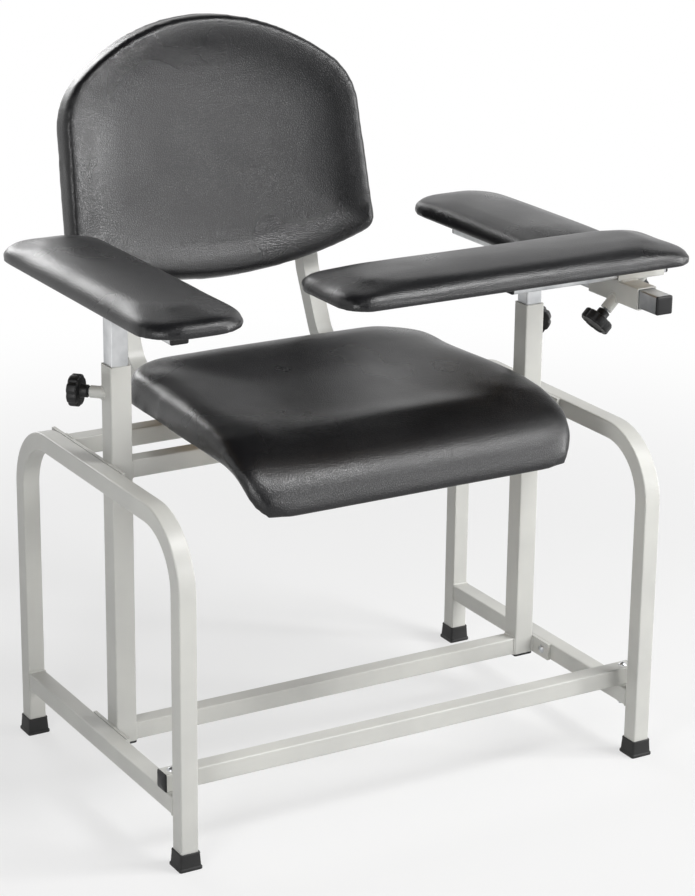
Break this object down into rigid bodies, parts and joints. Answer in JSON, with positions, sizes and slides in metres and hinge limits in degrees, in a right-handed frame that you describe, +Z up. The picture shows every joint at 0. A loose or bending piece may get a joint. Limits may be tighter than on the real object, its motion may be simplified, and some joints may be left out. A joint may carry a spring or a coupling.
{
  "type": "phlebotomy chair",
  "caption": "Blood-drawing chair with a light grey tube frame, black vinyl cushions, height-adjustable padded arms and a sliding padded front arm.",
  "frame": {"origin": "middle of the footprint at the floor, under the whole chair's bounding box", "axes": "+X to the sitter's left, -Y to the front, +Z up"},
  "size_m": [0.794, 0.7291, 0.9756],
  "materials": {
    "powder_steel": "satin",
    "plated_steel": "satin",
    "zinc_steel": "satin",
    "black_rubber": "matte",
    "black_plastic": "matte",
    "black_vinyl": "semi-gloss",
    "plywood": "matte"
  },
  "bodies": {
    "chair_frame": {"right_hoop": "powder_steel", "left_hoop": "powder_steel", "right_lower_rail": "powder_steel", "left_lower_rail": "powder_steel", "rubber_feet": "black_rubber", "right_upright": "powder_steel", "left_upright": "powder_steel", "upright_plugs": "black_plastic", "right_upper_plate": "powder_steel", "left_upper_plate": "powder_steel", "right_lower_plate": "powder_steel", "left_lower_plate": "powder_steel", "plate_bolts": "zinc_steel", "rivet_nuts": "zinc_steel", "lower_crossbar": "powder_steel", "front_crossbar": "powder_steel", "crossbar_plugs": "black_plastic", "crossbar_bolts": "zinc_steel", "seat_front_bar": "powder_steel", "seat_rear_bar": "powder_steel", "right_back_tube": "powder_steel", "left_back_tube": "powder_steel", "back_tube_plugs": "black_plastic", "seat_board": "plywood", "seat_cushion": "black_vinyl", "seat_screws": "zinc_steel", "back_board": "plywood", "back_cushion": "black_vinyl", "back_bolts": "zinc_steel", "lift_bosses": "powder_steel"},
    "right_arm": {"right_post": "plated_steel", "right_arm_tube": "plated_steel", "right_arm_plugs": "black_plastic", "right_pad_board": "plywood", "right_pad": "black_vinyl", "right_pad_screws": "zinc_steel"},
    "left_arm": {"left_post": "plated_steel", "left_arm_tube": "plated_steel", "left_arm_plugs": "black_plastic", "left_pad_board": "plywood", "left_pad": "black_vinyl", "left_pad_bars": "plated_steel", "left_pad_screws": "zinc_steel"},
    "slide_block": {"slide_sleeve": "powder_steel", "cross_sleeve": "powder_steel", "slide_bosses": "powder_steel"},
    "front_arm": {"front_arm_tube": "plated_steel", "front_arm_plugs": "black_plastic", "front_pad_plate": "plated_steel", "front_pad_board": "plywood", "front_pad": "black_vinyl", "front_pad_screws": "zinc_steel"},
    "right_lift_knob_body": {"right_lift_knob": "black_plastic"},
    "right_lift_stud_body": {"right_lift_stud": "zinc_steel"},
    "left_lift_knob_body": {"left_lift_knob": "black_plastic"},
    "left_lift_stud_body": {"left_lift_stud": "zinc_steel"},
    "slide_knob_body": {"slide_knob": "black_plastic"},
    "slide_stud_body": {"slide_stud": "zinc_steel"},
    "cross_knob_body": {"cross_knob": "black_plastic"},
    "cross_stud_body": {"cross_stud": "zinc_steel"}
  },
  "joints": [
    {"name": "right_arm_lift", "type": "slide", "parent": "chair_frame", "child": "right_arm", "axis": [0, 0, 1], "range_m": [-0.06, 0.12]},
    {"name": "left_arm_lift", "type": "slide", "parent": "chair_frame", "child": "left_arm", "axis": [0, 0, 1], "range_m": [-0.05, 0.12]},
    {"name": "front_arm_reach", "type": "slide", "parent": "left_arm", "child": "slide_block", "axis": [0, -1, 0], "range_m": [-0.02, 0.03]},
    {"name": "front_arm_cross", "type": "slide", "parent": "slide_block", "child": "front_arm", "axis": [1, 0, 0], "range_m": [0, 0.1]},
    {"name": "right_lift_clamp_travel", "type": "slide", "parent": "chair_frame", "child": "right_lift_stud_body", "axis": [-0.7071, 0.7071, 0], "range_m": [0, 0.00251]},
    {"name": "right_lift_knob_turn", "type": "hinge", "parent": "right_lift_stud_body", "child": "right_lift_knob_body", "pos_m": [-0.3365, -0.03499, 0.56], "axis": [-0.7071, 0.7071, 0], "range_deg": [0, 720]},
    {"name": "left_lift_clamp_travel", "type": "slide", "parent": "chair_frame", "child": "left_lift_stud_body", "axis": [0.7071, 0.7071, 0], "range_m": [0, 0.00251]},
    {"name": "left_lift_knob_turn", "type": "hinge", "parent": "left_lift_stud_body", "child": "left_lift_knob_body", "pos_m": [0.3365, -0.03499, 0.56], "axis": [0.7071, 0.7071, 0], "range_deg": [0, 720]},
    {"name": "slide_clamp_travel", "type": "slide", "parent": "slide_block", "child": "slide_stud_body", "axis": [-0.7071, 0, -0.7071], "range_m": [0, 0.00251]},
    {"name": "slide_knob_turn", "type": "hinge", "parent": "slide_stud_body", "child": "slide_knob_body", "pos_m": [0.3065, -0.26699, 0.6565], "axis": [-0.7071, 0, -0.7071], "range_deg": [0, 720]},
    {"name": "cross_clamp_travel", "type": "slide", "parent": "slide_block", "child": "cross_stud_body", "axis": [0, 0.7071, -0.7071], "range_m": [0, 0.00251]},
    {"name": "cross_knob_turn", "type": "hinge", "parent": "cross_stud_body", "child": "cross_knob_body", "pos_m": [0.36925, -0.25199, 0.6865], "axis": [0, 0.7071, -0.7071], "range_deg": [0, 720]}
  ],
  "couplings": [
    {"joint": "right_lift_clamp_travel", "follows": "right_lift_knob_turn", "m_per_rad": 0.00019894},
    {"joint": "left_lift_clamp_travel", "follows": "left_lift_knob_turn", "m_per_rad": 0.00019894},
    {"joint": "slide_clamp_travel", "follows": "slide_knob_turn", "m_per_rad": 0.00019894},
    {"joint": "cross_clamp_travel", "follows": "cross_knob_turn", "m_per_rad": 0.00019894}
  ]
}
